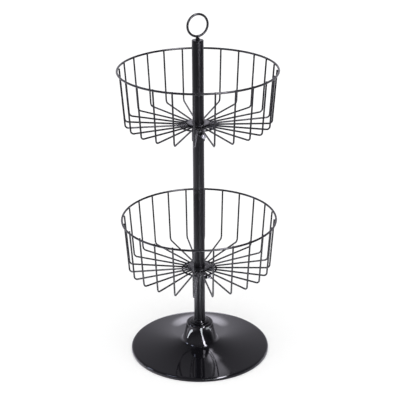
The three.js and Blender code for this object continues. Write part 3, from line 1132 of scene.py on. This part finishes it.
def makeBead(outer):
    # the weld around the boss, which follows the round sleeve
    s = stopSet
    section = circleLine(s["bossRadius"] - s["beadIn"], outer - s["beadSunk"], s["bead"], s["beadSides"])
    bead = latheMesh(section, s["beadSteps"])
    for vertex in bead.vertices:
        vertex.co.z += math.sqrt(max(outer ** 2 - vertex.co.y ** 2, 0)) - outer
    return bead


def makeCollar(tier, low, high, across):
    s = stopSet
    sleeve = latheMesh(ringLine(s["bore"], s["outer"], low, high, s["sleeveRounds"]), s["sleeveSegments"])
    foot = s["outer"] - s["bossSunk"]
    boss = hexRing(s["bossRadius"], s["screwHole"], foot, s["bossEnd"], s["bossChamfer"])
    bead = makeBead(s["outer"])
    boss.transform(across)
    bead.transform(across)
    return joinMeshes(f"{tier}Collar", [sleeve, boss, bead], tubeCoat)


def makeScrew(tier, across):
    s = stopSet
    shank = threadedRod(s["screwRadius"], s["screwTip"], s["headStart"] + s["screwSunk"], s["pitch"], zinc)
    radius, bevel = s["headRadius"], s["headBevel"]
    start, end = s["headStart"], s["headStart"] + s["headLength"]
    head = latheMesh(roundedLoop([
        (0, start), (radius - bevel, start), (radius, start + bevel),
        (radius, end - bevel), (radius - bevel, end), (0, end),
    ], s["headRounds"], 3, closed=False), s["headSegments"], closed=False)
    knurled = grow(head, knurlTree, {
        "Grooves": knurlSet["grooves"], "Depth": knurlSet["depth"], "Rim Radius": radius, "Material": zinc,
    })
    return joinMeshes(f"{tier}ThumbScrew", [shank, knurled], zinc, across, s["smooth"])


def makeStop(tier, yawDegrees):
    low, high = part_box(f"{tier}_collar")
    across = Matrix.Rotation(math.radians(yawDegrees), 4, "Z")
    across = across @ Matrix.Translation((0, 0, high.z - stopSet["bossDrop"]))
    across = across @ Matrix.Rotation(math.pi / 2, 4, "Y")
    collar = makeCollar(tier, low.z, high.z, across)
    hand(collar, f"{tier}_stop", "satin_black_coat", f"{tier}_collar")
    hand(makeScrew(tier, across), f"{tier}_screw", "bright_zinc", f"{tier}_thumb_screw")


tierSet = {
    "lower": {"ribYaw": -4.5, "screwYaw": -18},
    "upper": {"ribYaw": -3, "screwYaw": -60},
}

for tier, yaw in tierSet.items():
    makeBasket(tier, yaw["ribYaw"])
    makeStop(tier, yaw["screwYaw"])
    print(tier, "basket made")


floorSet = {"reach": 30, "shade": 0.9, "roughness": 0.9}


def makeFloor():
    s = floorSet
    bm = bmesh.new()
    bmesh.ops.create_grid(bm, x_segments=1, y_segments=1, size=s["reach"])
    mesh = asMesh("floor", bm)
    material, g = newMaterial("paleFloor")
    g.surface({"Base Color": grey(s["shade"]), "Roughness": s["roughness"], "Specular IOR Level": 0.0})
    mesh.materials.append(material)
    floor = bpy.data.objects.new("floor", mesh)
    floor.visible_glossy = False
    scene.collection.objects.link(floor)


makeFloor()


def toward(azimuth, elevation):
    # azimuth 0 is the camera's side, positive to its right
    a, e = math.radians(azimuth), math.radians(elevation)
    return Vector((math.sin(a) * math.cos(e), -math.cos(a) * math.cos(e), math.sin(e)))


def byHeight(stops):
    # stops of a ramp over the room, from its degrees above level
    return [((degrees + 90) / 180, shade) for degrees, shade in stops]


# strips are (first direction, last direction, width in degrees, glow), spots are
# (direction, reach in degrees, softness, glow), and masks are (low, high) along an axis
roomSet = {
    "front": [
        (-90, 0.9), (-40, 0.75), (-27, 0.45), (-20, 0.28), (-13, 0.12), (-5, 0.22), (0, 0.38),
        (15, 0.32), (30, 0.25), (90, 0.2),
    ],
    "back": [
        (-90, 0.9), (-30, 0.8), (-5, 1.0), (12, 0.85), (19, 1.05), (22, 0.85), (26, 0.55),
        (30, 0.43), (40, 0.25), (50, 0.18), (90, 0.15),
    ],
    "backEdge": (-0.05, 0.65),
    "dimRight": {"side": (0.35, 0.8), "height": (-0.20, -0.10), "share": 0.7},
    "below": (-0.18, -0.30),
    "belowLeft": {"side": (-0.25, -0.8), "glow": 0.9},
    "belowRight": {"side": (0.4, 0.95), "glow": 0.45},
    "rightLamps": [
        ((18, -4), (30, 6), 6.5, 20),
        ((29, 3), (50, 58), 10.5, 22),
        ((50, 56), (82, 72), 10, 16),
    ],
    "backLamps": [
        ((172, 49.5), (175.4, 42), 3, 3.2),
        ((175.2, 43), (177.2, 37.5), 1.8, 1.2),
        ((176.4, 18.9), (183.6, 18.9), 3.2, 2.5),
    ],
    "backSpot": ((172, 50), 2.2, 1.5, 4),
    "sideSpots": [((-92, 28), 5, 2, 14), ((-65, 56), 5, 2, 12)],
    "sideTint": (0.8, 0.9, 1.1),
    "stripSides": (1.3, 0.7),
    "stripEnds": 0.02,
    "tint": (1.0, 0.975, 1.09),
    "fill": 0.43,
}


class Room:
    # what a direction meets in the studio
    def __init__(self, g):
        self.g = g
        self.way = g.add("ShaderNodeTexCoord")["Generated"]
        self.parts = g.add("ShaderNodeSeparateXYZ", None, {0: self.way})
        self.level = self.parts["Z"].math("ARCSINE") / math.pi + 0.5

    def along(self, axis):
        return self.g.vector("DOT_PRODUCT", self.way, tuple(axis))["Value"]

    def strip(self, first, last, width, glow):
        # a long lamp between two directions
        a, b = toward(*first), toward(*last)
        across = self.along(a.cross(b).normalized())
        middle = (a + b).normalized()
        edge, end = math.sin(math.radians(width / 2)), math.acos(a.dot(middle))
        (wide, narrow), soft = roomSet["stripSides"], roomSet["stripEnds"]
        near = self.g.mask(across.math("ABSOLUTE"), edge * wide, edge * narrow)
        return near * self.g.mask(self.along(middle), math.cos(end + soft), math.cos(end - soft)) * glow

    def spot(self, direction, reach, soft, glow):
        outer, inner = math.radians(reach + soft), math.radians(reach - soft)
        return self.g.mask(self.along(toward(*direction)), math.cos(outer), math.cos(inner)) * glow

    def mask(self, axis, limits):
        return self.g.mask(self.parts[axis], *limits)


def makeWorld():
    # the gloss sees the room; straight rays see plain white, and the floor a plain soft fill
    s = roomSet
    world = bpy.data.worlds.new("studio")
    scene.world = world
    g = Graph(world)
    room = Room(g)
    dim, left, right = s["dimRight"], s["belowLeft"], s["belowRight"]
    dimmed = room.mask("X", dim["side"]) * room.mask("Z", dim["height"]) * dim["share"]
    front = g.mixColour(dimmed, g.ramp(room.level, byHeight(s["front"])), grey(0))
    back = g.ramp(room.level, byHeight(s["back"]))
    shade = g.mixColour(room.mask("Y", s["backEdge"]), front, back)
    low = room.mask("X", left["side"]) * left["glow"] + room.mask("X", right["side"]) * right["glow"]
    glow = room.mask("Z", s["below"]) * low + room.spot(*s["backSpot"])
    for lamp in s["rightLamps"] + s["backLamps"]:
        glow = glow + room.strip(*lamp)
    side = room.spot(*s["sideSpots"][0]) + room.spot(*s["sideSpots"][1])
    tints = zip("XYZ", s["sideTint"])
    lamps = g.add("ShaderNodeCombineXYZ", None, {axis: glow + side * tint for axis, tint in tints})["Vector"]
    tinted = g.vector("MULTIPLY", g.vector("ADD", shade, lamps)["Vector"], s["tint"])["Vector"]
    rays = g.add("ShaderNodeLightPath")
    plain = g.mixColour(rays["Is Camera Ray"], grey(s["fill"]), grey(1))
    colour = g.mixColour(rays["Is Glossy Ray"], plain, tinted)
    sky = g.add("ShaderNodeBackground", None, {"Color": colour, "Strength": 1.0})["Background"]
    g.add("ShaderNodeOutputWorld", None, {"Surface": sky})


makeWorld()

cardSet = {
    "height": 0.0004,
    "colour": (0.9, 0.94, 1.0, 1),
    "cards": [
        {"name": "leftCard", "start": (-0.185, -0.125), "end": (-0.262, 0.0), "width": 0.050, "glow": 15},
        {"name": "frontCard", "start": (0.030, -0.175), "end": (0.175, -0.62), "width": 0.052, "glow": 17},
        {"name": "rightCard", "start": (0.150, -0.130), "end": (0.190, 0.005), "width": 0.016, "glow": 7},
    ],
}


def makeCard(name, start, end, width, glow):
    # a low bright card on the floor, which only the gloss sees
    a, b = Vector(start), Vector(end)
    side = Vector((a.y - b.y, b.x - a.x)).normalized() * width / 2
    corners = [a - side, b - side, b + side, a + side]
    mesh = bpy.data.meshes.new(name)
    mesh.from_pydata([(c.x, c.y, cardSet["height"]) for c in corners], [], [(0, 1, 2, 3)])
    material, g = newMaterial(name + "Glow")
    shine = g.add("ShaderNodeEmission", None, {"Color": cardSet["colour"], "Strength": glow})["Emission"]
    g.add("ShaderNodeOutputMaterial", None, {"Surface": shine})
    material.cycles.emission_sampling = "NONE"
    mesh.materials.append(material)
    card = bpy.data.objects.new(name, mesh)
    card.visible_camera = card.visible_diffuse = card.visible_shadow = card.visible_transmission = False
    scene.collection.objects.link(card)


for card in cardSet["cards"]:
    makeCard(**card)

overheadSet = {"strength": 2.5, "spread": 70, "tilt": 12}


def makeOverhead():
    # one broad soft lamp from above, left out of the gloss
    data = bpy.data.lights.new("overhead", "SUN")
    data.energy = overheadSet["strength"]
    data.angle = math.radians(overheadSet["spread"])
    lamp = bpy.data.objects.new("overhead", data)
    lamp.matrix_world = Matrix.Rotation(math.radians(overheadSet["tilt"]), 4, "X")
    lamp.visible_glossy = False
    scene.collection.objects.link(lamp)


makeOverhead()
print("stage made")
